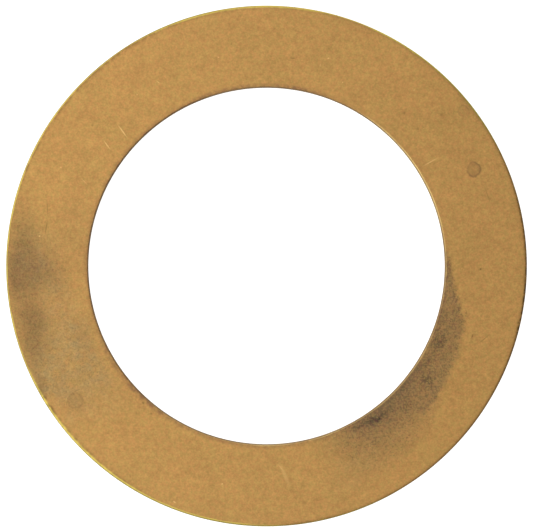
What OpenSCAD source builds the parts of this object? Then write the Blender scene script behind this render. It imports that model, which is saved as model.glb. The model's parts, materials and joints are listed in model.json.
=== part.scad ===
// Flat washer, blanked and pierced from brass sheet.
// The washer lies flat with its rolled side up. +Z runs along the axis of the bore, and the
// origin is the centre of the bore at the underside.

/* [Ring] */
// Outside diameter of the washer
outer_d = 50.8; // [44:0.1:120]
// Diameter of the bore
bore_d = 34.93; // [4:0.01:42]
// Thickness of the sheet
sheet_t = 1.6; // [1:0.05:6]

/* [Corners] */
// Radius that blanking rolls onto the upper corner of the rim
rim_roll_r = 0.2; // [0.05:0.01:0.45]
// Radius that piercing rolls onto the upper corner of the bore
bore_roll_r = 0.1; // [0.05:0.01:0.45]
// Radius that deburring leaves on the lower corner of the rim
rim_deburr_r = 0.1; // [0.02:0.01:0.45]
// Radius that deburring leaves on the lower corner of the bore
bore_deburr_r = 0.1; // [0.02:0.01:0.45]

/* [Hidden] */
$fn = 180;
rim_r = outer_d / 2;
bore_r = bore_d / 2;
// How far a corner cutter reaches outside the section, so that no faces coincide
overshoot = 0.5;

// Removes the sharp corner at the origin of a section that lies in the quadrant X > 0, Y > 0
module corner_cutter(r) {
    difference() {
        translate([-overshoot, -overshoot])
            square(r + overshoot);
        translate([r, r])
            circle(r = r);
    }
}

// Half of the washer's cross-section, with X as the radius and Y as the height
module ring_section() {
    difference() {
        translate([bore_r, 0])
            square([rim_r - bore_r, sheet_t]);
        translate([rim_r, sheet_t])
            rotate(180)
                corner_cutter(rim_roll_r);
        translate([bore_r, sheet_t])
            rotate(-90)
                corner_cutter(bore_roll_r);
        translate([rim_r, 0])
            rotate(90)
                corner_cutter(rim_deburr_r);
        translate([bore_r, 0])
            corner_cutter(bore_deburr_r);
    }
}

module flat_washer() {
    color("#b88e52")
        rotate_extrude()
            ring_section();
}

flat_washer();
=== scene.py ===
"""A flat brass washer with an aged face, lying on a white light table.

The mesh is swept round the ring from one cross-section that changes a little with the angle. The
material is worked out from the place on the washer, in millimetres. Angles are in degrees from +X,
anticlockwise seen from above. "Across" is 0 at the bore and 1 at the rim.
"""

import json
import math

import bpy
import numpy as np
from mathutils import Matrix, Vector


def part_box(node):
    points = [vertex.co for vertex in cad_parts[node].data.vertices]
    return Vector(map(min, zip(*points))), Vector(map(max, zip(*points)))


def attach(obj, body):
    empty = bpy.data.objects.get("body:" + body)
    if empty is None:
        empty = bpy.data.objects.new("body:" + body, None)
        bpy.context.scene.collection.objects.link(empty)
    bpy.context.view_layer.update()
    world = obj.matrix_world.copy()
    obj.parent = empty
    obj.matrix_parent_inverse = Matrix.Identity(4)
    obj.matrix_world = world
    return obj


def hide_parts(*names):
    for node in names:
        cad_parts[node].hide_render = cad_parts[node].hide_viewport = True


MM = 0.001
NODE = "flat_washer"

# Divisions of the mesh, round the ring and along its cross-section
AROUND = 800
FACE_ROWS = 32
CORNER_ROWS = 8
WALL_ROWS = 10
UNDERSIDE_ROWS = 20
DEBURR_ROWS = 5
# The UV map: its sectors, the gap round each, and the underside's room as a share of its length
UV_SECTORS = 3
UV_GAP = 0.004
UNDERSIDE_ROOM = 0.65

# The corners, in millimetres: how far in each roll reaches and how far down it drops
RIM_ROLL_REACH = 0.22
BORE_ROLL_REACH = 0.08
RIM_ROLL_DROP = 0.16
BORE_ROLL_DROP = 0.08
DEBURR = 0.09
# How much the reach and the drop vary round the ring, as shares of themselves
REACH_VARIES = 0.12
DROP_VARIES = 0.1

# The upper part of each wall was cut, this share of it, and the rest tore. The line between the
# two is ragged and blurred by these shares of the sheet. Its raggedness is smoothed over a few
# columns of the mesh to each side.
SHEAR_SHARE = 0.45
TEAR_RAGGED = 0.05
TEAR_BLUR = 0.12
RAGGED_SPAN = 4
# How far back the torn part lies and how rough it is, in millimetres
FRACTURE_RECESS = 0.03
FRACTURE_ROUGHNESS = 0.012
# A point is on a wall when its radius is this near to the wall's, in millimetres
ON_WALL = 1e-6

# The unevenness of the face, in millimetres: its height, then the length and phase of two crossed
# waves along X and along Y, then a slanting ripple as its lengths along X and Y and its share
FACE_WAVE = 0.006
WAVE_X, PHASE_X = 2.9, 0.8
WAVE_Y, PHASE_Y = 3.7, 0.3
RIPPLE_X, RIPPLE_Y, RIPPLE_SHARE = 1.3, 1.9, 0.6
# It fades in over this part of the sheet's height
WAVES_FROM, WAVES_OVER = 0.6, 0.3

# Where the rim was rubbed into a wider rounding: (angle, spread in degrees, extra reach)
RIM_RUBS = ((222, 14, 0.12), (105, 12, 0.06), (258, 5, 0.04))
# The same at the bore, where a minus leaves a sharper corner
BORE_RUBS = ((42, 13, 0.05), (20, 8, 0.04), (192, 75, -0.035))
# Small blows: (angle, across, width, depth), the last two in millimetres
DENTS = ((210.5, 0.92, 0.35, 0.025), (25.2, 0.60, 0.70, 0.006), (133, 0.30, 0.3, 0.008))

# The camera: its height above the face, the width that it sees there, its sensor in millimetres,
# and the nearest and farthest things that it shows, in metres
CAMERA_HEIGHT = 230 * MM
FRAME_WIDTH = 51.94 * MM
SENSOR = 36
NEAREST, FARTHEST = 0.01, 10
# The room's own light, and softboxes as (azimuth, elevation, distance, width, length, radiance)
ROOM_LIGHT = 0.26
SOFTBOXES = {
    "overhead": (180, 82, 0.75, 0.45, 1.30, 0.93),
    "left": (176, 40, 0.80, 0.70, 1.60, 0.98),
    "back": (73, 14, 0.80, 0.90, 0.50, 0.80),
}
# The light table: half its width in metres, how far it lies below the washer, and its surface
TABLE_HALF = 3.0
TABLE_GAP = 0.01 * MM
TABLE_GREY = 0.6
TABLE_ROUGHNESS = 0.6


# ---------------------------------------------------------------- the ring's mesh


def harmonics(angles, seed, lowest, highest):
    """An irregularity round the ring, about -1 to 1, made of seeded sine waves."""
    rng = np.random.default_rng(seed)
    total = np.zeros_like(angles)
    for k in range(lowest, highest + 1):
        total += rng.normal() * np.sin(k * angles + rng.uniform(0, 2 * math.pi))
    return total / math.sqrt(highest - lowest + 1)


def bump_at(angles, centre, spread):
    """1 at an angle, falling to 0 over the spread, both in degrees."""
    apart = (np.degrees(angles) - centre + 180) % 360 - 180
    return np.exp(-((apart / spread) ** 2))


def corner(rows, start, end, starts_level):
    """Points of a quarter of an ellipse from start to end, each (radius, height) round the ring.
    It starts level and ends upright, or the other way round."""
    turn = np.linspace(0, math.pi / 2, rows + 1)[1:, None]
    if starts_level:
        radius = start[0] + (end[0] - start[0]) * np.sin(turn)
        height = start[1] + (end[1] - start[1]) * (1 - np.cos(turn))
    else:
        radius = start[0] + (end[0] - start[0]) * (1 - np.cos(turn))
        height = start[1] + (end[1] - start[1]) * np.sin(turn)
    return radius, height


def straight(rows, start, end):
    """Points evenly spaced from start to end, without the first one."""
    share = np.linspace(0, 1, rows + 1)[1:, None]
    return start[0] + (end[0] - start[0]) * share, start[1] + (end[1] - start[1]) * share


def sections(angles, bore_r, rim_r, sheet_t):
    """Radius and height of every point of the section, as rows, at every angle, as columns."""
    none = np.zeros_like(angles)
    rim_reach = RIM_ROLL_REACH * (1 + REACH_VARIES * harmonics(angles, 1, 2, 9))
    for centre, spread, extra in RIM_RUBS:
        rim_reach = rim_reach + extra * bump_at(angles, centre, spread)
    bore_reach = BORE_ROLL_REACH * (1 + REACH_VARIES * harmonics(angles, 2, 2, 9))
    for centre, spread, extra in BORE_RUBS:
        bore_reach = bore_reach + extra * bump_at(angles, centre, spread)
    rim_drop = RIM_ROLL_DROP * (1 + DROP_VARIES * harmonics(angles, 3, 2, 7))
    bore_drop = BORE_ROLL_DROP * (1 + DROP_VARIES * harmonics(angles, 4, 2, 7))

    face_in = (bore_r + bore_reach, sheet_t + none)
    face_out = (rim_r - rim_reach, sheet_t + none)
    rim_top = (rim_r + none, sheet_t - rim_drop)
    rim_low = (rim_r + none, DEBURR + none)
    under_out = (rim_r - DEBURR + none, none)
    under_in = (bore_r + DEBURR + none, none)
    bore_low = (bore_r + none, DEBURR + none)
    bore_top = (bore_r + none, sheet_t - bore_drop)
    runs = [
        straight(FACE_ROWS, face_in, face_out),
        corner(CORNER_ROWS, face_out, rim_top, True),
        straight(WALL_ROWS, rim_top, rim_low),
        corner(DEBURR_ROWS, rim_low, under_out, False),
        straight(UNDERSIDE_ROWS, under_out, under_in),
        corner(DEBURR_ROWS, under_in, bore_low, True),
        straight(WALL_ROWS, bore_low, bore_top),
        corner(CORNER_ROWS, bore_top, face_in, False),
    ]
    radius = np.vstack([run[0] for run in runs])
    height = np.vstack([run[1] for run in runs])
    return radius, height


def tear_walls(radius, height, bore_r, rim_r, sheet_t):
    """The lower part of each wall broke and was not cut: it lies back a little and is rough."""
    rng = np.random.default_rng(7)
    grain = rng.normal(size=radius.shape)
    grain = (grain + np.roll(grain, 1, 1) + np.roll(grain, -1, 1)) / 3
    ragged = TEAR_RAGGED * sheet_t * rng.normal(size=radius.shape[1])
    shifts = range(-RAGGED_SPAN, RAGGED_SPAN + 1)
    ragged = sum(np.roll(ragged, shift) for shift in shifts) / math.sqrt(len(shifts))
    limit = sheet_t * (1 - SHEAR_SHARE) + ragged
    torn = np.clip((limit - height) / (TEAR_BLUR * sheet_t), 0, 1)
    torn = torn * np.clip((height - DEBURR / 2) / DEBURR, 0, 1)
    depth = torn * (FRACTURE_RECESS + FRACTURE_ROUGHNESS * grain)
    on_rim = radius > rim_r - ON_WALL
    on_bore = radius < bore_r + ON_WALL
    return radius - depth * on_rim + depth * on_bore


def wave_face(angles, radius, height, sheet_t):
    """The rolled sheet is not quite flat, and it has taken small blows."""
    x, y = radius * np.cos(angles), radius * np.sin(angles)
    wave = np.sin(x / WAVE_X + PHASE_X) * np.sin(y / WAVE_Y + PHASE_Y)
    wave = wave + RIPPLE_SHARE * np.sin(x / RIPPLE_X + y / RIPPLE_Y)
    top = np.clip((height - WAVES_FROM * sheet_t) / (WAVES_OVER * sheet_t), 0, 1)
    height = height + FACE_WAVE * wave * top
    inner, outer = radius.min(), radius.max()
    for angle, across, width, depth in DENTS:
        r = inner + across * (outer - inner)
        cx, cy = r * math.cos(math.radians(angle)), r * math.sin(math.radians(angle))
        gap = ((x - cx) ** 2 + (y - cy) ** 2) / width**2
        height = height - depth * np.exp(-2 * gap) * top
    return height


def bake_map(mesh, radius, height):
    """A UV map for the export: the section's length runs up the map, and the ring lies across it
    in sectors, one above another. The underside gets less room than its length."""
    rows, cols = radius.shape
    outward = np.diff(radius, axis=0, append=radius[:1])
    upward = np.diff(height, axis=0, append=height[:1])
    length = np.hypot(outward, upward).mean(1)
    first_under = FACE_ROWS + CORNER_ROWS + WALL_ROWS + DEBURR_ROWS
    length[first_under : first_under + UNDERSIDE_ROWS] *= UNDERSIDE_ROOM
    along = np.concatenate([[0], np.cumsum(length)]) / length.sum()

    tall = 1 / UV_SECTORS
    per_sector = cols / UV_SECTORS
    j = np.arange(cols)
    sector = np.minimum((j / per_sector).astype(int), UV_SECTORS - 1)
    begin = np.ceil(sector * per_sector)
    count = np.ceil((sector + 1) * per_sector) - begin
    uv = np.empty((rows, cols, 4, 2))
    for loop, (up, right) in enumerate(((0, 0), (0, 1), (1, 1), (1, 0))):
        uv[:, :, loop, 0] = UV_GAP + (1 - 2 * UV_GAP) * (j - begin + right) / count
        for i in range(rows):
            v = UV_GAP + (tall - 2 * UV_GAP) * along[i + up]
            uv[i, :, loop, 1] = sector * tall + v
    mesh.uv_layers.new(name="OFBake").data.foreach_set("uv", uv.ravel())


def washer_mesh(bore_r, rim_r, sheet_t):
    """The whole ring as one closed skin of four-sided faces."""
    angles = np.linspace(0, 2 * math.pi, AROUND, endpoint=False)
    radius, height = sections(angles, bore_r, rim_r, sheet_t)
    radius = tear_walls(radius, height, bore_r, rim_r, sheet_t)
    height = wave_face(angles, radius, height, sheet_t)
    rows, cols = radius.shape
    points = np.stack([radius * np.cos(angles), radius * np.sin(angles), height], -1) * MM
    i, j = np.meshgrid(np.arange(rows), np.arange(cols), indexing="ij")
    i_next, j_next = (i + 1) % rows, (j + 1) % cols
    corners = [i * cols + j, i * cols + j_next, i_next * cols + j_next, i_next * cols + j]
    faces = np.stack(corners, -1)
    mesh = bpy.data.meshes.new(NODE + "_skin")
    mesh.from_pydata(points.reshape(-1, 3).tolist(), [], faces.reshape(-1, 4).tolist())
    bake_map(mesh, radius, height)
    mesh.flip_normals()
    mesh.shade_smooth()
    mesh.validate()
    return mesh


# ---------------------------------------------------------------- writing formulas as nodes


def paint(code):
    """A colour such as "#b88e52" as the linear values that a shader takes, by the sRGB curve."""
    parts = [int(code[k : k + 2], 16) / 255 for k in (1, 3, 5)]
    linear = [p / 12.92 if p <= 0.04045 else ((p + 0.055) / 1.055) ** 2.4 for p in parts]
    return (*linear, 1.0)


class Field:
    """A number that differs over the surface. Arithmetic on it adds nodes to its graph."""

    def __init__(self, graph, socket):
        self.graph = graph
        self.socket = socket

    def __add__(self, other):
        return self.graph.math("ADD", self, other)

    def __sub__(self, other):
        return self.graph.math("SUBTRACT", self, other)

    def __rsub__(self, other):
        return self.graph.math("SUBTRACT", other, self)

    def __mul__(self, other):
        return self.graph.math("MULTIPLY", self, other)

    def __truediv__(self, other):
        return self.graph.math("DIVIDE", self, other)

    __radd__ = __add__
    __rmul__ = __mul__


class Graph:
    """The node tree of one material, with a short call for each kind of node it needs."""

    def __init__(self, material):
        material.use_nodes = True
        self.tree = material.node_tree
        self.tree.nodes.clear()

    def node(self, kind, **settings):
        """A new node with these properties."""
        made = self.tree.nodes.new(kind)
        for name, value in settings.items():
            setattr(made, name, value)
        return made

    def feed(self, socket, value):
        """Links a field to a socket, or sets the socket to a constant."""
        if isinstance(value, Field):
            self.tree.links.new(value.socket, socket)
        else:
            socket.default_value = value

    def math(self, operation, *values, clamp=False):
        made = self.node("ShaderNodeMath", operation=operation, use_clamp=clamp)
        for socket, value in zip(made.inputs, values):
            self.feed(socket, value)
        return Field(self, made.outputs[0])

    def ramp(self, value, low, high):
        """0 below low, 1 above high and smooth between; low may be the larger."""
        made = self.node("ShaderNodeMapRange", interpolation_type="SMOOTHSTEP")
        for name, part in (("Value", value), ("From Min", low), ("From Max", high)):
            self.feed(made.inputs[name], part)
        return Field(self, made.outputs["Result"])

    def curve(self, value, points):
        """A smooth curve through a few (value, result) points, each from 0 to 1."""
        made = self.node("ShaderNodeFloatCurve")
        line = made.mapping.curves[0]
        for point in points[1:-1]:
            line.points.new(*point)
        line.points[0].location = points[0]
        line.points[-1].location = points[-1]
        made.mapping.update()
        self.feed(made.inputs["Value"], value)
        return Field(self, made.outputs[0])

    def vector(self, operation, first, second=None):
        made = self.node("ShaderNodeVectorMath", operation=operation)
        self.feed(made.inputs[0], first)
        if second is not None:
            self.feed(made.inputs[1], second)
        return Field(self, made.outputs["Value" if operation == "LENGTH" else "Vector"])

    def scaled(self, colour, factor):
        """A colour made lighter or darker by a factor."""
        made = self.node("ShaderNodeVectorMath", operation="SCALE")
        self.feed(made.inputs[0], colour)
        self.feed(made.inputs["Scale"], factor)
        return Field(self, made.outputs["Vector"])

    def parts(self, place):
        """The X, Y and Z of a place."""
        made = self.node("ShaderNodeSeparateXYZ")
        self.feed(made.inputs[0], place)
        return [Field(self, made.outputs[k]) for k in range(3)]

    def local(self, place, centre, turn, half_sizes):
        """The place as seen from a box with this centre, turn in degrees and half sizes."""
        made = self.node("ShaderNodeMapping", vector_type="TEXTURE")
        self.feed(made.inputs["Vector"], place)
        made.inputs["Location"].default_value = (*centre, 0)
        made.inputs["Rotation"].default_value = (0, 0, math.radians(turn))
        made.inputs["Scale"].default_value = (*half_sizes, 1e3)
        return Field(self, made.outputs[0])

    def noise(self, place, size, detail=2.0, rough=0.5, twist=0.0, output="Fac"):
        """Cloudy noise with lumps of this size in millimetres. Its output "Fac" is a number from
        0 to 1, about 0.5, and "Color" is three of them."""
        made = self.node("ShaderNodeTexNoise", noise_dimensions="3D")
        self.feed(made.inputs["Vector"], place)
        made.inputs["Scale"].default_value = 1 / size
        made.inputs["Detail"].default_value = detail
        made.inputs["Roughness"].default_value = rough
        made.inputs["Distortion"].default_value = twist
        return Field(self, made.outputs[output])

    def dots(self, place, size, keep, radius):
        """Round dots of this radius, one in a share "keep" of cells of this size."""
        made = self.node("ShaderNodeTexVoronoi", feature="F1")
        self.feed(made.inputs["Vector"], place)
        made.inputs["Scale"].default_value = 1 / size
        cell = self.node("ShaderNodeSeparateColor")
        self.tree.links.new(made.outputs["Color"], cell.inputs[0])
        chosen = self.math("LESS_THAN", Field(self, cell.outputs[0]), keep)
        distance = Field(self, made.outputs["Distance"])
        near = self.ramp(distance, radius / size, FULL_SHARE * radius / size)
        return near * chosen

    def mix(self, share, first, second):
        """First where share is 0, second where it is 1."""
        made = self.node("ShaderNodeMix", data_type="RGBA", clamp_factor=True)
        self.feed(made.inputs["Factor"], share)
        self.feed(made.inputs["A"], first)
        self.feed(made.inputs["B"], second)
        return Field(self, made.outputs["Result"])

    def film(self, share, colour, passed):
        """The colour seen through a film that lets this light through, as thick as the share."""
        white = (1.0, 1.0, 1.0, 1.0)
        return self.vector("MULTIPLY", colour, self.mix(share, white, passed))


# ---------------------------------------------------------------- aged brass

# Colours of the metal
FACE_GOLD = paint("#cfa15e")
FACE_ORANGE = paint("#ce965a")
FACE_OLIVE = paint("#c6a05b")
# The rim's bright bands: rubbed brass, and a painted highlight where the rim faces the lamps
RIM_RUBBED_LIT_BRASS = paint("#f2dc6c")
# The bore's bright bands: rubbed brass, and a painted highlight where its corner and wall face the
# lamps
BORE_RUBBED_LIT_BRASS = paint("#f0cf84")
WALL_BRASS = paint("#e0b468")
TORN_BRASS = paint("#b58c50")
SCRATCH = paint("#f2c67e")
# Films on the metal, as the colours of the light that they let through
VEIL = paint("#cfd6f4")
SMUDGE = paint("#cbd3ea")
GREEN_TARNISH = paint("#8ca5c8")
VIOLET_TARNISH = paint("#a59cd2")
DEEP_TARNISH = paint("#7487a6")
# What lies on the metal and hides it; the dark browns also colour the darker edge bands, and the
# bore's is dirt and painted shade
HAZE = paint("#ad9566")
STAIN_LINE = paint("#8b6a46")
DARK_BROWN = paint("#7d5f38")
BORE_DIRT_AND_SHADE = paint("#7c5648")

# The stain beside the bore runs from its first angle to its last. Its crisp body and its soft veil
# reach this far across, as (share of the angle, reach) points.
STAIN_FROM, STAIN_TO = 9, -80
STAIN_BODY = (
    (0.0, 0.0), (0.10, 0.07), (0.20, 0.18), (0.28, 0.34), (0.36, 0.38), (0.44, 0.42),
    (0.51, 0.45), (0.565, 0.49), (0.62, 0.30), (0.69, 0.0), (1.0, 0.0),
)
STAIN_VEIL = (
    (0.0, 0.06), (0.38, 0.12), (0.48, 0.44), (0.57, 0.63), (0.67, 0.73), (0.77, 0.75),
    (0.86, 0.57), (0.93, 0.33), (1.0, 0.0),
)
# Its darkest parts: (angle, across, half length along the ring, half width, strength)
STAIN_CORES = (
    (-24, 0.12, 1.7, 0.80, 0.8), (-35, 0.22, 1.4, 1.0, 0.65), (-37.5, 0.42, 0.9, 0.35, 0.5),
    (-45, 0.25, 1.0, 0.7, 0.25), (-54.5, 0.11, 2.0, 0.5, 1.0), (-59.5, 0.07, 1.4, 0.35, 0.7),
    (-12, 0.23, 1.6, 0.40, 0.5), (-15, 0.31, 1.4, 0.30, 0.5), (-8, 0.14, 1.4, 0.3, 0.50),
    (-17, 0.20, 1.2, 0.6, 0.15), (-20, 0.05, 3.0, 0.25, 0.5), (-31, 0.10, 1.2, 0.5, 0.5),
    (0, 0.07, 2.2, 0.40, 0.75),
)
# Soft brown smudges, most of them at the rim: (angle, across, half length, half width, strength)
SMUDGES = (
    (195, 0.73, 4.0, 2.7, 0.72), (179, 0.79, 4.6, 3.1, 0.78), (182, 0.92, 3.6, 1.6, 0.40),
    (182, 0.50, 3.4, 2.6, 0.42), (171, 0.84, 4.4, 2.4, 0.38), (188, 0.80, 4.4, 3.2, 0.54),
    (200, 0.88, 3.0, 2.0, 0.40), (174, 0.20, 8.0, 4.2, 0.22), (224, 0.15, 3.0, 2.0, 0.18),
    (207, 0.93, 2.6, 1.0, 0.45), (202, 0.10, 4.0, 2.0, 0.16),
)
# A thin grey-green haze near them, in the same terms
HAZES = (
    (203, 0.45, 5.5, 4.0, 0.9), (196, 0.25, 4.5, 2.4, 0.5), (187, 0.42, 4.0, 2.2, 0.5),
    (214, 0.70, 4.0, 2.6, 0.7), (206, 0.80, 4.0, 2.4, 0.9), (212, 0.25, 3.5, 2.2, 0.6),
    (178, 0.60, 4.0, 3.0, 0.5), (217, 0.40, 4.0, 3.0, 0.35), (-67, 0.55, 4.0, 2.5, 0.3),
)
# Drops that dried on the face: (angle, across, radius, strength of the ring and of the tint in it)
DRIED_RINGS = (
    (25.0, 0.612, 0.68, 0.70, 0.36), (38.2, 0.88, 0.55, 0.36, 0.14), (30.0, 0.66, 0.5, 0.16, 0.05),
    (215.2, 0.67, 0.72, 0.40, 0.16), (195.5, 0.96, 0.3, 0.5, 0.2),
)
# Bands along an edge: (angle, half spread, width in millimetres, strength). First bright bands,
# where the corners are rubbed clean and a highlight is painted where they face the lamps, then
# darker bands: along the rim, and along the bore, where they are dirt and painted shade.
# Rim: rubbed clean, and a painted highlight on the side that faces the lamps
RIM_RUBBED_AND_LIT = (
    (222, 22, 0.37, 1.0), (250, 26, 0.30, 1.0), (280, 26, 0.15, 0.7), (175, 45, 0.21, 1.0),
    (128, 26, 0.18, 0.9), (96, 24, 0.28, 1.0), (66, 18, 0.18, 0.8), (46, 22, 0.22, 1.0),
    (20, 14, 0.12, 0.4),
)
# Bore: rubbed clean, and a painted highlight where the corner faces the lamps
BORE_RUBBED_AND_LIT = (
    (36, 28, 0.14, 1.0), (2, 22, 0.13, 0.6), (-45, 34, 0.12, 0.65), (-80, 20, 0.12, 0.6),
    (252, 34, 0.08, 0.5), (85, 30, 0.06, 0.3),
)
# Darker brown bands along the rim
RIM_DARK_BANDS = (
    (2, 24, 0.34, 0.6), (345, 18, 0.30, 0.5), (75, 12, 0.34, 0.2), (135, 32, 0.55, 0.45),
    (211, 5, 0.60, 0.9), (158, 2, 0.4, 0.3), (-79, 5, 0.4, 0.35), (242, 4, 0.4, 0.3),
    (95, 24, 0.5, 0.25), (45, 22, 0.5, 0.1), (226, 18, 0.62, 0.6), (180, 30, 0.4, 0.2),
)
# Along the bore: dirt, and painted shade in the thin bands at 133 and 175 degrees, where the corner
# faces away from the lamps
BORE_GRIME_AND_SHADE = (
    (133, 24, 0.07, 0.7), (175, 38, 0.06, 0.65), (219, 20, 0.60, 0.38), (350, 16, 0.40, 0.5),
    (78, 10, 0.40, 0.3), (-62, 26, 0.24, 0.3), (255, 40, 0.50, 0.25), (100, 28, 0.5, 0.35),
    (140, 20, 0.45, 0.2),
)
# Scratches: (angle, across, heading, half length, half width, strength); heading is from +X
LIGHT_SCRATCHES = (
    (136.9, 0.22, -54, 1.0, 0.09, 0.9), (142.8, 0.26, -54, 0.65, 0.08, 0.8),
    (155.1, 0.27, -45, 0.6, 0.07, 0.4), (32.4, 0.18, 29, 1.05, 0.09, 0.65),
    (-85, 0.38, -66, 1.7, 0.28, 0.28), (-86, 0.28, -52, 0.6, 0.08, 0.3),
    (120.5, 0.42, -35, 0.25, 0.07, 0.6), (75, 0.35, 70, 0.2, 0.07, 0.5),
    (73.4, 0.46, 20, 0.14, 0.10, 0.9), (67.5, 0.24, 60, 0.10, 0.08, 0.7),
    (103, 0.43, -30, 0.14, 0.08, 0.7), (127, 0.44, -40, 0.13, 0.08, 0.7),
    (154.4, 0.60, 0, 0.11, 0.08, 0.7), (172.5, 0.61, 30, 0.14, 0.10, 0.8),
    (-101.5, 0.53, 70, 0.14, 0.10, 0.9), (-111.3, 0.91, -35, 0.20, 0.10, 0.9),
    (50, 0.62, 40, 0.12, 0.08, 0.7),
)
DARK_SCRATCHES = (
    (-18.5, 0.62, 40, 0.95, 0.07, 0.4), (-18.8, 0.47, 71, 0.32, 0.09, 0.6),
    (170, 0.545, 80, 0.9, 0.09, 0.5), (165, 0.585, 94, 1.1, 0.08, 0.4),
    (-13, 0.32, 80, 0.3, 0.06, 0.3), (82.8, 0.37, -7, 0.35, 0.08, 0.45),
    (17.7, 0.65, -70, 0.9, 0.08, 0.3),
)
# Dark spots: (angle, across, radius, strength)
DARK_SPOTS = (
    (-0.8, 0.43, 0.13, 0.9), (48, 0.33, 0.18, 0.55), (-132, 0.06, 0.20, 0.7),
    (-128, 0.10, 0.16, 0.5), (40.9, 0.64, 0.28, 0.5), (42.2, 0.31, 0.22, 0.45),
    (99, 0.56, 0.12, 0.5), (141, 0.55, 0.16, 0.4), (-12.7, 0.97, 0.18, 0.7),
    (-12.3, 0.80, 0.4, 0.2),
)
# Fine specks all over: (size of a cell, share of the cells that hold one, radius), and strength
BRIGHT_SPECKS, BRIGHT_SPECKS_SHOW = (0.9, 0.06, 0.05), 0.5
DARK_SPECKS, DARK_SPECKS_SHOW = (1.1, 0.10, 0.08), 0.2

# The crumbs of patina that make the face's grain: (size, depth)
GRAIN = ((0.17, 0.45), (0.36, 0.29), (0.9, 0.15), (2.6, 0.14))
# The mottling of the face: its clouds, patches and crumbs count this much, and plain gold this much
CLOUDS, PATCHES, CRUMBS = 0.2, 0.45, 0.35
PLAIN_GOLD = 0.35
# Layers that a noise makes patchy: (what always shows, what the noise adds)
PATCHY_HAZE = (0.14, 0.58)
PATCHY_SMUDGE = (0.65, 0.30)
PATCHY_STAIN = (0.70, 0.60)
PATCHY_RINGS = (0.60, 0.55)
PATCHY_WALL = (0.75, 0.50)
PATCHY_TEAR = (0.45, 0.55)
# What follows as (begins, full) gives the values at which a layer begins and is full.
# Crumbs, how far a share of 1 lifts the dashes towards them, and the share that they are full at
CRUMB_EDGE = (0.65, 0.73)
CRUMB_LIFT = 0.16
CRUMBS_FULL = 0.25
# How strongly the crumbs on the smudges and the haze show, by how much there is of each
FACE_CRUMBS = 0.26
SMUDGE_CRUMBS, HAZE_CRUMBS = 0.8, 0.35
# The two ends of the stain, as shares of its angle, and the edge of its body, across
STAIN_START, STAIN_END = (-0.01, 0.04), (1.0, 0.70)
BODY_EDGE = (-0.03, 0.07)
# How strongly the stain shows: its body, its veil and the reach that this is full at, its cores,
# its crumbs and the more of them in its cores, and the worms in the veil, the cores and the haze
BODY_SHOWS = 0.62
VEIL_SHOWS, VEIL_FULL = 1.05, 0.5
CORES_SHOW = 0.38
CRUMBS_SHOW, CORE_CRUMBS_SHOW = 0.40, 0.25
VEIL_WORMS, CORE_WORMS, HAZE_WORMS = 0.25, 0.40, 0.24
# Dried rings: how strongly they show, and their half width and the edge of their tint, as shares
# of their radius
RINGS_SHOW = 0.75
RING_HALF_WIDTH = 0.22
TINT_EDGE = (1.1, 0.8)
# The noise that breaks up the rings and the dirt along the edges
BREAKS = (0.34, 0.62)
# The bands along the edges: how far they wander, and a thin line of dirt, in millimetres from them
WANDER = 0.14
RIM_LINE, BORE_LINE = (0.42, 0.16), (0.50, 0.08)
LINE_SHOWS = 0.12
# The share of a dot, a band or an arc, from its middle, that is at its full strength
FULL_SHARE = 0.3
# How much of the bright bands the darker bands take back, at the rim and at the bore
RIM_DARK_TAKES, BORE_DARK_TAKES = 0.45, 0.5
# How strong the bore's bright band is where its wall takes the band's painted highlight as well,
# and how much of the wall's own colour that hides
BAND_COVERS_WALL = (0.65, 1.0)
WALL_COVERED = 0.85
# Heights on the washer, as shares of the sheet: its upper side, its walls below the rolled corner,
# and their torn part, whose edge is this ragged in millimetres
UPPER_SIDE = (0.55, 0.8)
LOW_WALL = (0.9, 0.8)
TORN = (0.58, 0.50)
TORN_RAGGED = 0.35
# How near a wall its layers begin and are full, in millimetres
WALL_BEGINS, WALL_FULL = 0.07, 0.04

# The surface, and what is added to its roughness or taken from it
METALLIC = 0.92
ROUGHNESS = 0.46
AGED_ROUGHER, FINE_ROUGHER, TORN_ROUGHER, CORES_ROUGHER = 0.10, 0.12, 0.16, 0.06
BRIGHT_BANDS_SMOOTHER, SCRATCHED_SMOOTHER = 0.10, 0.10
# The bump of the finest relief: how far it counts, its height, and how much more a torn wall has
BUMP_COUNTS = 0.35
BUMP_HEIGHT = 0.01 * MM
TORN_BUMP = 3.0
# Keeps a share from being divided by nothing
TINY = 0.001


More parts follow.
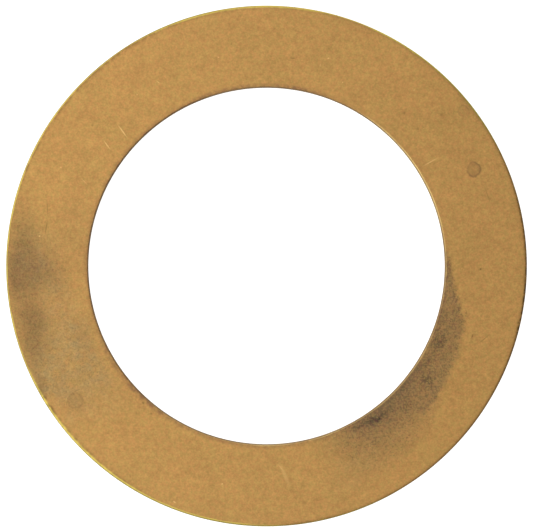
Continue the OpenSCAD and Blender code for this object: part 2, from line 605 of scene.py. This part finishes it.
class Brass:
    """The aged brass of the washer, built up layer by layer from the place on it."""

    def __init__(self, bore_r, rim_r, sheet_t):
        self.bore_r = bore_r
        self.rim_r = rim_r
        self.sheet_t = sheet_t
        self.material = bpy.data.materials.new("aged_brass")
        self.graph = Graph(self.material)
        self.measure()

    def measure(self):
        """The place in millimetres, and the polar measures that the layers use."""
        g = self.graph
        coords = g.node("ShaderNodeTexCoord")
        self.place = g.vector("MULTIPLY", Field(g, coords.outputs["Object"]), (1 / MM,) * 3)
        x, y, self.z = g.parts(self.place)
        self.radius = g.math("SQRT", x * x + y * y)
        self.east, self.north = x / self.radius, y / self.radius
        self.top = self.at_height(self.z, UPPER_SIDE)

    def at_height(self, height, shares):
        """A ramp over the height, between two shares of the sheet."""
        return self.graph.ramp(height, shares[0] * self.sheet_t, shares[1] * self.sheet_t)

    def patches(self, pattern, amounts):
        """The first amount, and as much more of the second as a pattern says."""
        always, more = amounts
        return pattern * more + always

    def at(self, angle, across):
        """The point of the face at an angle and a share across, as (x, y)."""
        r = self.bore_r + across * (self.rim_r - self.bore_r)
        return r * math.cos(math.radians(angle)), r * math.sin(math.radians(angle))

    def warped(self, size, amount):
        """The place, pushed about by noise so that what is drawn there has an uneven outline."""
        g = self.graph
        push = g.vector("SUBTRACT", g.noise(self.place, size, output="Color"), (0.5, 0.5, 0.5))
        return g.vector("ADD", self.place, g.vector("MULTIPLY", push, (amount, amount, 0)))

    def blob(self, place, angle, across, half_length, half_width):
        """1 in the middle of an oval that lies along the ring, and 0 at its edge."""
        g = self.graph
        seen = g.local(place, self.at(angle, across), angle + 90, (half_length, half_width))
        return g.ramp(g.vector("LENGTH", seen), 1.0, 0.0)

    def stroke(self, angle, across, heading, half_length, half_width):
        """1 along a short straight line that is pointed at both ends."""
        g = self.graph
        seen = g.local(self.place, self.at(angle, across), heading, (half_length, half_width))
        return g.ramp(g.vector("LENGTH", seen), 1.0, 0.2)

    def arc(self, angle, half_spread):
        """1 over the middle of a stretch of the ring, 0 beyond its half spread."""
        a = math.radians(angle)
        toward = self.east * math.cos(a) + self.north * math.sin(a)
        edge = math.cos(math.radians(half_spread))
        middle = math.cos(math.radians(half_spread * FULL_SHARE))
        return self.graph.ramp(toward, edge, middle)

    def sum_of(self, fields):
        """Adds fields up as they are made, so that few of them wait for each other."""
        fields = iter(fields)
        total = next(fields)
        for field in fields:
            total = total + field
        return total

    def worms(self, size, width):
        """Short dark wandering lines, such as corrosion makes: where noise crosses its middle."""
        g = self.graph
        level = g.math("ABSOLUTE", g.noise(self.place, size, detail=1.0, twist=0.6) - 0.5)
        return g.ramp(level, width, 0.0)

    def dashes(self, size, flat):
        """A noise of short strokes that run either along X or along Y."""
        g = self.graph
        stretched = [g.vector("MULTIPLY", self.place, way) for way in ((1, flat, 1), (flat, 1, 1))]
        first, second = [g.noise(place, size, detail=1.5, twist=0.2) for place in stretched]
        return g.math("MAXIMUM", first, second)

    def crumbs(self, share):
        """Grains of the dashes, the more of them the higher the share."""
        g = self.graph
        lifted = self.strokes + share * CRUMB_LIFT
        return g.ramp(lifted, *CRUMB_EDGE) * g.ramp(share, 0.0, CRUMBS_FULL)

    def face_colour(self):
        """Brown-gold with faint orange and olive mottling."""
        g = self.graph
        cloud = g.noise(self.place, 2.4, detail=3.0)
        patch = g.noise(self.place, 0.42, detail=2.0)
        crumb = g.noise(self.place, 0.20, detail=1.0)
        hue = g.ramp(cloud * CLOUDS + patch * PATCHES + crumb * CRUMBS, 0.36, 0.64)
        colour = g.mix(hue, FACE_OLIVE, FACE_ORANGE)
        return g.mix(PLAIN_GOLD, colour, FACE_GOLD)

    def grain(self):
        """Lighter and darker crumbs of patina, about 1, finer ones stronger."""
        g = self.graph
        shifts = [(g.noise(self.place, size, detail=1.0) - 0.5) * depth for size, depth in GRAIN]
        return self.sum_of(shifts) + 1.0

    def bore_stain(self):
        """How much of the stain beside the bore lies on the face, and how dark its cores are."""
        g = self.graph
        place = self.warped(1.0, 1.2)
        x, y, _ = g.parts(place)
        radius = g.math("SQRT", x * x + y * y)
        angle = g.math("DEGREES", g.math("ARCTAN2", y, x))
        across = (radius - self.bore_r) / (self.rim_r - self.bore_r)
        share = (angle - STAIN_FROM) / (STAIN_TO - STAIN_FROM)
        body = g.ramp(g.curve(share, STAIN_BODY) - across, *BODY_EDGE) * BODY_SHOWS
        reach = g.curve(share, STAIN_VEIL) + TINY
        veil = g.math("MAXIMUM", (reach - across) / reach, 0.0) * g.ramp(reach, 0.0, VEIL_FULL)
        amount = g.math("MAXIMUM", body, veil)
        cores = self.sum_of(self.blob(place, *core[:4]) * core[4] for core in STAIN_CORES)
        return amount * g.ramp(share, *STAIN_START) * g.ramp(share, *STAIN_END), cores

    def ovals(self, shapes, size, push):
        """Several soft ovals with uneven outlines, added together up to 1."""
        place = self.warped(size, push)
        total = self.sum_of(self.blob(place, *shape[:4]) * shape[4] for shape in shapes)
        return self.graph.math("MINIMUM", total * self.top, 1.0)

    def rings(self):
        """Thin uneven rings left by drops."""
        g = self.graph
        place = self.warped(0.7, 0.42)
        uneven = self.patches(g.ramp(g.noise(self.place, 0.7), *BREAKS), PATCHY_RINGS)
        return self.sum_of(self.ring(place, *ring) for ring in DRIED_RINGS) * uneven

    def ring(self, place, angle, across, radius, strength, tint):
        """A ring with a faint tint inside it."""
        g = self.graph
        seen = g.vector("LENGTH", g.local(place, self.at(angle, across), 0, (radius, radius)))
        line = g.ramp(g.math("ABSOLUTE", seen - 1.0), RING_HALF_WIDTH, 0.0) * strength
        return line + g.ramp(seen, *TINT_EDGE) * tint

    def edge_bands(self):
        """Along the rim and then along the bore: bright bands, rubbed clean and a painted
        highlight, and darker bands, at the bore dirt and painted shade.
        """
        g = self.graph
        wander = (g.noise(self.place, 1.8, detail=2.0) - 0.5) * WANDER
        broken = g.ramp(g.noise(self.place, 0.5, detail=3.0, rough=0.6), *BREAKS)
        rim_gap = self.rim_r - self.radius + wander
        bore_gap = self.radius - self.bore_r + wander
        rim_line = g.ramp(rim_gap, *RIM_LINE) * LINE_SHOWS
        bore_line = g.ramp(bore_gap, *BORE_LINE) * LINE_SHOWS
        return (
            self.bands(rim_gap, RIM_RUBBED_AND_LIT),
            self.bands(rim_gap, RIM_DARK_BANDS) * broken + rim_line,
            self.bands(bore_gap, BORE_RUBBED_AND_LIT),
            self.bands(bore_gap, BORE_GRIME_AND_SHADE) * broken + bore_line,
        )

    def bands(self, gap, arcs):
        """1 beside an edge, where the gap from it is less than the width of one of the arcs."""
        ramp = self.graph.ramp
        total = self.sum_of(
            ramp(gap, width, width * FULL_SHARE) * self.arc(angle, spread) * strength
            for angle, spread, width, strength in arcs
        )
        return self.graph.math("MINIMUM", total, 1.0)

    def wall_masks(self):
        """1 on the walls, and 1 on their torn lower part."""
        g = self.graph
        outside = g.ramp(self.radius, self.rim_r - WALL_BEGINS, self.rim_r - WALL_FULL)
        inside = g.ramp(self.radius, self.bore_r + WALL_BEGINS, self.bore_r + WALL_FULL)
        wall = g.math("MAXIMUM", outside, inside)
        ragged = (g.noise(self.place, 0.9, detail=3.0) - 0.5) * TORN_RAGGED
        return wall, self.at_height(self.z + ragged, TORN) * wall

    def marks(self):
        """The bright scratches and specks, and the dark ones."""
        g = self.graph
        place = self.warped(0.3, 0.08)
        bright = self.lines(LIGHT_SCRATCHES) * self.top
        bright = bright + g.dots(self.place, *BRIGHT_SPECKS) * BRIGHT_SPECKS_SHOW
        dirt = (self.spots(place, DARK_SPOTS) + self.lines(DARK_SCRATCHES)) * self.top
        return bright, dirt + g.dots(self.warped(0.4, 0.1), *DARK_SPECKS) * DARK_SPECKS_SHOW

    def spots(self, place, spots):
        """Round spots, added together."""
        return self.sum_of(self.blob(place, a, c, r, r) * strength for a, c, r, strength in spots)

    def lines(self, scratches):
        """Scratches, added together."""
        return self.sum_of(self.stroke(*line[:5]) * line[5] for line in scratches)

    def make_patterns(self):
        """The noises that several layers share, from a fine grain to blotches."""
        g = self.graph
        self.fine = g.noise(self.place, 0.15, detail=2.0)
        self.grit = g.noise(self.place, 0.23, detail=2.0, rough=0.6)
        self.strokes = self.dashes(0.16, 0.55)
        self.medium = g.noise(self.place, 0.42, detail=2.0)
        self.blotch = g.noise(self.place, 0.9, detail=3.0, rough=0.6)

    def dulled_face(self):
        """The face, and the haze and the brown smudges at its rim."""
        g = self.graph
        self.haze = self.ovals(HAZES, 2.2, 2.0)
        hazy = self.haze * self.patches(g.ramp(self.blotch, 0.25, 0.75), PATCHY_HAZE)
        colour = g.scaled(g.mix(hazy, self.face_colour(), HAZE), self.grain())
        self.smudge = self.ovals(SMUDGES, 1.4, 1.2)
        colour = g.film(self.smudge * self.patches(self.blotch, PATCHY_SMUDGE), colour, SMUDGE)
        self.tarnish = g.mix(g.ramp(self.medium, 0.42, 0.72), GREEN_TARNISH, VIOLET_TARNISH)
        crumbs = self.crumbs(self.smudge * SMUDGE_CRUMBS + self.haze * HAZE_CRUMBS)
        return g.film(crumbs * FACE_CRUMBS, colour, self.tarnish)

    def stained(self, colour):
        """The stain beside the bore: a brown veil, dark crumbs that thin out at its edge, and dark
        cores. Fine worms run through it and through the haze."""
        g = self.graph
        amount, cores = self.bore_stain()
        self.stain = amount * self.top * self.patches(self.blotch, PATCHY_STAIN)
        self.dark = g.math("MINIMUM", cores * self.top, 1.0)
        worms = self.worms(0.38, 0.06) * g.ramp(self.grit, 0.4, 0.6)
        colour = g.film(self.stain * VEIL_SHOWS, colour, VEIL)
        core = self.dark * g.ramp(self.medium, 0.25, 0.6)
        colour = g.film(core * CORES_SHOW, colour, self.tarnish)
        crumbs = self.crumbs(self.stain * 1.1 + self.dark * 0.5)
        crumbs = crumbs * (CRUMBS_SHOW + self.dark * CORE_CRUMBS_SHOW)
        colour = g.film(crumbs, colour, self.tarnish)
        wormy = self.stain * VEIL_WORMS + self.dark * CORE_WORMS + self.haze * HAZE_WORMS
        return g.film(wormy * worms, colour, DEEP_TARNISH)

    def marked(self, colour):
        """Dried rings, scratches and specks."""
        g = self.graph
        colour = g.mix(self.rings() * self.top * RINGS_SHOW, colour, STAIN_LINE)
        self.bright, dirt = self.marks()
        colour = g.mix(self.bright, colour, SCRATCH)
        return g.mix(dirt, colour, DARK_BROWN)

    def edged(self, colour):
        """The corners, with darker bands and with bright bands that are rubbed clean and a painted
        highlight, and the walls. Where the bore's bright band is strongest, its wall takes that
        band's colour as well: a painted highlight on the wall."""
        g = self.graph
        rim_rubbed_and_lit, rim_dark_bands, bore_rubbed_and_lit, bore_grime_and_shade = self.edge_bands()
        # The bright edge bands, rubbed and painted highlight, for the roughness
        self.rubbed_and_lit_edges = g.math("MAXIMUM", rim_rubbed_and_lit, bore_rubbed_and_lit)
        # Darker brown bands along the rim
        colour = g.mix(rim_dark_bands, colour, DARK_BROWN)
        # Dirt and painted shade along the bore
        colour = g.mix(bore_grime_and_shade, colour, BORE_DIRT_AND_SHADE)
        # A painted highlight on the rim's bright bands, with rubbed brass
        colour = g.mix(rim_rubbed_and_lit * (1.0 - rim_dark_bands * RIM_DARK_TAKES), colour, RIM_RUBBED_LIT_BRASS)
        # A painted highlight on the bore's bright bands, with rubbed brass
        colour = g.mix(bore_rubbed_and_lit * (1.0 - bore_grime_and_shade * BORE_DARK_TAKES), colour, BORE_RUBBED_LIT_BRASS)
        wall, self.torn = self.wall_masks()
        self.streaks = g.noise(g.vector("MULTIPLY", self.place, (1, 1, 0.12)), 0.12, detail=2.0)
        self.low_wall = wall * self.at_height(self.z, LOW_WALL)
        # Where the bore's bright band is strong, the wall keeps that painted highlight instead of
        # its own colour
        own_wall_share = 1.0 - g.ramp(bore_rubbed_and_lit, *BAND_COVERS_WALL) * WALL_COVERED
        streaky = self.low_wall * own_wall_share * self.patches(self.streaks, PATCHY_WALL)
        colour = g.mix(streaky, colour, WALL_BRASS)
        torn = self.torn * own_wall_share * self.patches(g.ramp(self.fine, 0.35, 0.65), PATCHY_TEAR)
        return g.mix(torn, colour, TORN_BRASS)

    def roughness(self):
        """Rougher where the face is stained or torn, smoother on the bright edge bands and where it
        is scratched.
        """
        aged = self.graph.math("MAXIMUM", self.stain, self.smudge)
        rough = ROUGHNESS + aged * AGED_ROUGHER + (self.fine - 0.5) * FINE_ROUGHER
        rough = rough - self.rubbed_and_lit_edges * BRIGHT_BANDS_SMOOTHER + self.torn * TORN_ROUGHER
        return rough + self.dark * CORES_ROUGHER - self.bright * SCRATCHED_SMOOTHER

    def relief(self):
        """The height of the finest relief: grain, which a torn wall has more of, and streaks."""
        grain = self.fine * 0.5 + self.medium * 0.5
        return grain + self.torn * self.fine * TORN_BUMP + self.low_wall * self.streaks

    def shade(self):
        """Lays the layers over each other and connects the shader."""
        self.make_patterns()
        colour = self.dulled_face()
        colour = self.stained(colour)
        colour = self.marked(colour)
        colour = self.edged(colour)
        self.connect(colour, self.roughness(), self.relief())

    def connect(self, colour, rough, height):
        """The shader, with a bump for the relief, as the surface of the material."""
        g = self.graph
        bump = g.node("ShaderNodeBump")
        bump.inputs["Strength"].default_value = BUMP_COUNTS
        bump.inputs["Distance"].default_value = BUMP_HEIGHT
        g.feed(bump.inputs["Height"], height)
        shader = g.node("ShaderNodeBsdfPrincipled")
        g.feed(shader.inputs["Base Color"], colour)
        g.feed(shader.inputs["Roughness"], rough)
        g.tree.links.new(bump.outputs[0], shader.inputs["Normal"])
        shader.inputs["Metallic"].default_value = METALLIC
        out = g.node("ShaderNodeOutputMaterial")
        g.tree.links.new(shader.outputs[0], out.inputs["Surface"])


# ---------------------------------------------------------------- stage, light and camera


def white_to_camera(tree, plain):
    """Adds a white glow to a shader, for the camera's own rays only, and returns the sum."""
    path = tree.nodes.new("ShaderNodeLightPath")
    white = tree.nodes.new("ShaderNodeEmission")
    both = tree.nodes.new("ShaderNodeAddShader")
    tree.links.new(path.outputs["Is Camera Ray"], white.inputs["Strength"])
    tree.links.new(plain, both.inputs[0])
    tree.links.new(white.outputs[0], both.inputs[1])
    return both.outputs[0]


def light_table():
    """A white floor that looks lit from below, so that it shows no shadow beside the washer."""
    half = TABLE_HALF
    corners = [(-half, -half, 0), (half, -half, 0), (half, half, 0), (-half, half, 0)]
    mesh = bpy.data.meshes.new("light_table")
    mesh.from_pydata(corners, [], [(0, 1, 2, 3)])
    floor = bpy.data.objects.new("light_table", mesh)
    bpy.context.collection.objects.link(floor)
    floor.location.z = -TABLE_GAP
    material = bpy.data.materials.new("white_acrylic")
    material.use_nodes = True
    tree = material.node_tree
    shader = tree.nodes["Principled BSDF"]
    shader.inputs["Base Color"].default_value = (TABLE_GREY, TABLE_GREY, TABLE_GREY, 1)
    shader.inputs["Roughness"].default_value = TABLE_ROUGHNESS
    lit = white_to_camera(tree, shader.outputs[0])
    tree.links.new(lit, tree.nodes["Material Output"].inputs["Surface"])
    mesh.materials.append(material)


def aim(thing, place, target):
    """Puts a lamp or a camera at a place, facing a target, with its own Y kept towards +Y."""
    thing.location = place
    back = (thing.location - Vector(target)).normalized()
    right = Vector((0, 1, 0)).cross(back).normalized()
    thing.rotation_euler = Matrix((right, back.cross(right), back)).transposed().to_euler()


def softbox(name, azimuth, elevation, distance, width, length, radiance):
    """A lamp that faces the washer, its length towards +Y. The radiance is how bright the washer
    sees it."""
    data = bpy.data.lights.new(name, "AREA")
    data.shape = "RECTANGLE"
    data.size = width
    data.size_y = length
    data.energy = radiance * math.pi * width * length
    lamp = bpy.data.objects.new(name, data)
    bpy.context.collection.objects.link(lamp)
    a, e = math.radians(azimuth), math.radians(elevation)
    flat = distance * math.cos(e)
    aim(lamp, (flat * math.cos(a), flat * math.sin(a), distance * math.sin(e)), (0, 0, 0))
    lamp.visible_camera = False


def surroundings():
    """A dim room, which the camera sees as white."""
    world = bpy.data.worlds.new("room")
    bpy.context.scene.world = world
    world.use_nodes = True
    tree = world.node_tree
    dim = tree.nodes["Background"]
    dim.inputs["Color"].default_value = (1, 1, 1, 1)
    dim.inputs["Strength"].default_value = ROOM_LIGHT
    lit = white_to_camera(tree, dim.outputs[0])
    tree.links.new(lit, tree.nodes["World Output"].inputs["Surface"])


def overhead_camera(top):
    """Straight down at the middle of the bore, with a long lens."""
    data = bpy.data.cameras.new("camera")
    data.sensor_width = SENSOR
    data.lens = SENSOR * CAMERA_HEIGHT / FRAME_WIDTH
    data.clip_start = NEAREST
    data.clip_end = FARTHEST
    camera = bpy.data.objects.new("camera", data)
    bpy.context.collection.objects.link(camera)
    aim(camera, (0, 0, top + CAMERA_HEIGHT), (0, 0, top))
    bpy.context.scene.camera = camera


# ---------------------------------------------------------------- the scene

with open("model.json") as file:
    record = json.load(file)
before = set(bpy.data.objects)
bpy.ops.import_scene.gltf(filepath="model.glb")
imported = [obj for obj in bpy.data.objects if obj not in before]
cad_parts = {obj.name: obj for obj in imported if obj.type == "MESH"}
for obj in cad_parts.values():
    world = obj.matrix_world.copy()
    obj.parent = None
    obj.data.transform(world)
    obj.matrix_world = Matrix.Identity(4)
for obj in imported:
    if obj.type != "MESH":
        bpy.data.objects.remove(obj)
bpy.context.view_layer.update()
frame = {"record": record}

low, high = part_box(NODE)
bore_mount = next(m for m in frame["record"]["mounts"] if m["name"] == "bore")
BORE_R = bore_mount["dims"]["r_mm"]
RIM_R = (high.x - low.x) / 2 / MM
SHEET_T = (high.z - low.z) / MM

overhead_camera(high.z)
surroundings()
light_table()
for softbox_name, measures in SOFTBOXES.items():
    softbox(softbox_name, *measures)

washer = bpy.data.objects.new("washer", washer_mesh(BORE_R, RIM_R, SHEET_T))
bpy.context.collection.objects.link(washer)
brass = Brass(BORE_R, RIM_R, SHEET_T)
brass.shade()
washer.data.materials.append(brass.material)
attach(washer, "root")
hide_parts(NODE)

bpy.context.scene.view_settings.view_transform = "Standard"
